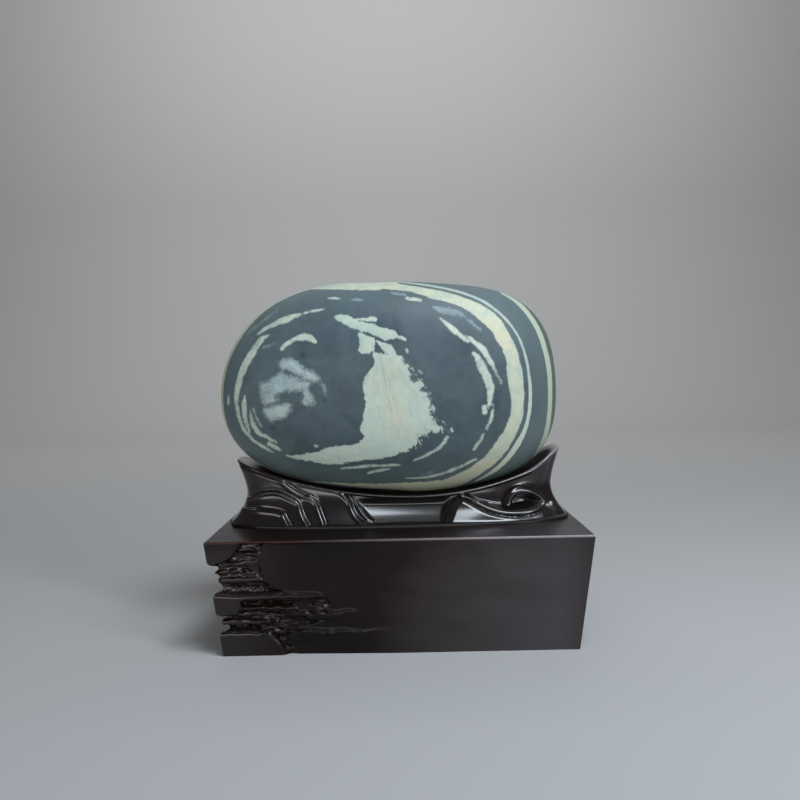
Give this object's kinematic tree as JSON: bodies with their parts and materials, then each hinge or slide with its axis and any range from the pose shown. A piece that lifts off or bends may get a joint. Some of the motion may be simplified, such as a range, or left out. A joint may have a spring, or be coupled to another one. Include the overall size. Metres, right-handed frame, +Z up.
{
  "type": "ink painting river stone on carved wooden stand",
  "caption": "Smooth flattened river stone with pale natural ink-like markings, lying in a carved hardwood seat on a tapered carved hardwood plinth.",
  "frame": {"origin": "middle of the plinth's flat underside, on the surface it stands on", "axes": "+Z up; the marked face of the stone and the carved front look along -Y; +X to the right of a viewer facing the front"},
  "size_m": [0.251, 0.1598, 0.2462],
  "materials": {
    "river_stone": "water-worn satin, slate blue-grey with pale celadon markings",
    "dark_hardwood": "glossy near-black red-brown lacquer over carved rosewood"
  },
  "bodies": {
    "root": {"stone": "river_stone", "seat": "dark_hardwood", "plinth": "dark_hardwood"}
  },
  "joints": []
}
